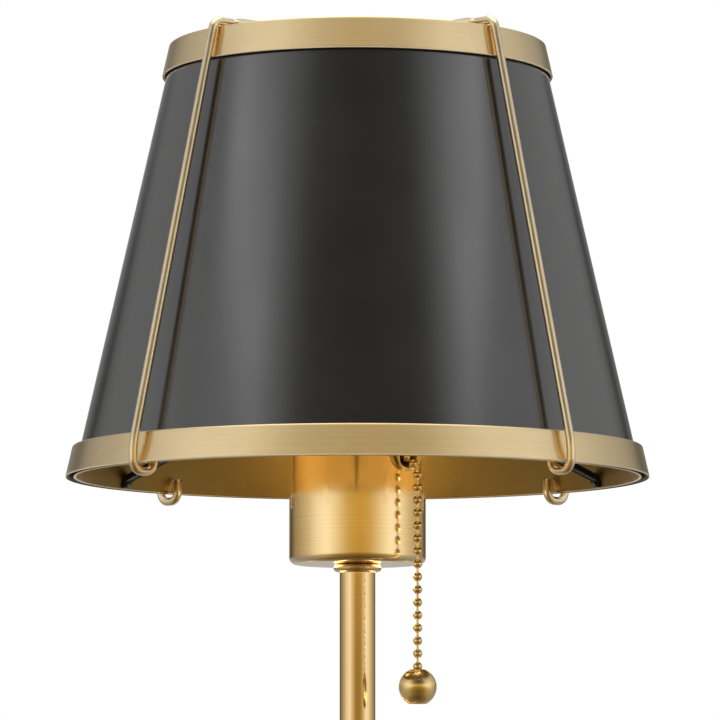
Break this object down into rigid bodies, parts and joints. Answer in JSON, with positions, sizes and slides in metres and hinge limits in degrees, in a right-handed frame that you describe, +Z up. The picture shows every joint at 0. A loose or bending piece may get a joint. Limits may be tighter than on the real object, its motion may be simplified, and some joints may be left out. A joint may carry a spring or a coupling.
{
  "type": "pull-chain wall sconce",
  "caption": "Wall sconce with a tapered black metal shade in a brass rod cage, a pull-chain socket cup on a slender stem and a round wall plate",
  "frame": {"origin": "middle of the two box screw holes, on the wall plane", "axes": "+Z up along the stem, +Y into the wall, -Y into the room, +X to the right seen from the room"},
  "size_m": [0.2036, 0.2318, 0.3678],
  "materials": {
    "brass": "brushed",
    "bright_brass": "polished",
    "black_paint": "satin",
    "steel": "plain",
    "green_screw": "satin",
    "phenolic": "matte",
    "ceramic": "glazed",
    "connector": "matte",
    "black_wire": "matte",
    "white_wire": "matte",
    "bulb_glass": "clear"
  },
  "bodies": {
    "lamp": {"wall_plate": "brass", "crossbar": "steel", "plate_studs": "steel", "cap_nuts": "brass", "ground_screw": "green_screw", "arm_collar": "brass", "arm_tube": "brass", "arm_nipple": "steel", "arm_locknut": "steel", "wire_connectors": "connector", "live_wire": "black_wire", "neutral_wire": "white_wire", "hub_block": "brass", "hub_finial": "brass", "hub_grub": "steel", "stem_tube": "brass", "stem_collar": "brass", "stem_nipple": "steel", "cup_locknut": "steel", "socket_cup": "brass", "chain_bell": "brass", "switch_housing": "phenolic", "terminal_screws": "bright_brass", "contact_leaves": "bright_brass", "lever_pin": "steel", "return_spring": "steel", "socket_disc": "ceramic", "centre_contact": "bright_brass", "screw_shell": "bright_brass", "threaded_skirt": "ceramic", "ring_nut": "phenolic", "shade_spider": "black_paint", "spider_rivets": "black_paint", "shade_cone": "black_paint", "top_band": "brass", "low_band": "brass", "cage_straps": "brass", "cross_bar_a": "brass", "cross_bar_b": "brass", "cross_screw": "brass", "cross_nut": "brass"},
    "chain_top_bead": {"chain_top": "bright_brass"},
    "chain_second_bead": {"chain_second": "bright_brass"},
    "chain_hanging": {"chain_beads": "bright_brass", "chain_links": "bright_brass", "pull_ball": "bright_brass"},
    "chain_mouth_bead": {"chain_turn_1": "bright_brass"},
    "chain_throat_bead": {"chain_turn_2": "bright_brass"},
    "chain_inner": {"chain_lead": "bright_brass"},
    "lever": {"pull_lever": "steel"},
    "cam": {"switch_cam": "phenolic"},
    "bulb": {"bulb_contact": "steel", "bulb_cap": "steel", "bulb_glass": "bulb_glass"}
  },
  "joints": [
    {"name": "chain_pull", "type": "slide", "parent": "lamp", "child": "chain_top_bead", "axis": [0, 0, -1], "range_m": [0, 0.0088], "stiffness_N_per_m": 1000, "springref_m": -0.004},
    {"name": "chain_swing_out", "type": "hinge", "parent": "chain_top_bead", "child": "chain_second_bead", "pos_m": [0.02121, -0.15121, 0.1497], "axis": [-0.7071, -0.7071, 0], "range_deg": [-5, 60]},
    {"name": "chain_swing_side", "type": "hinge", "parent": "chain_second_bead", "child": "chain_hanging", "pos_m": [0.02121, -0.15121, 0.1453], "axis": [0.7071, -0.7071, 0], "range_deg": [-45, 45]},
    {"name": "mouth_bead_slide", "type": "slide", "parent": "lamp", "child": "chain_mouth_bead", "axis": [0.183, -0.183, -0.9659], "range_m": [0, 0.0086]},
    {"name": "throat_bead_slide", "type": "slide", "parent": "lamp", "child": "chain_throat_bead", "axis": [0.4731, -0.4731, -0.7431], "range_m": [0, 0.0087]},
    {"name": "inner_chain_slide", "type": "slide", "parent": "lamp", "child": "chain_inner", "axis": [0.646, -0.646, -0.4067], "range_m": [0, 0.0089]},
    {"name": "lever_turn", "type": "hinge", "parent": "lamp", "child": "lever", "pos_m": [0.00556, -0.13556, 0.15176], "axis": [0.7071, 0.7071, 0], "range_deg": [0, 45.5]},
    {"name": "cam_turn", "type": "hinge", "parent": "lamp", "child": "cam", "pos_m": [0.00556, -0.13556, 0.15176], "axis": [0.7071, 0.7071, 0], "continuous": true},
    {"name": "bulb_lift", "type": "slide", "parent": "lamp", "child": "bulb", "axis": [0, 0, 1], "range_m": [0, 0.0205]}
  ],
  "couplings": [
    {"joint": "mouth_bead_slide", "follows": "chain_pull", "ratio": 0.96593},
    {"joint": "throat_bead_slide", "follows": "chain_pull", "ratio": 0.97815},
    {"joint": "inner_chain_slide", "follows": "chain_pull", "ratio": 1},
    {"joint": "lever_turn", "follows": "chain_pull", "rad_per_m": 89.231}
  ]
}
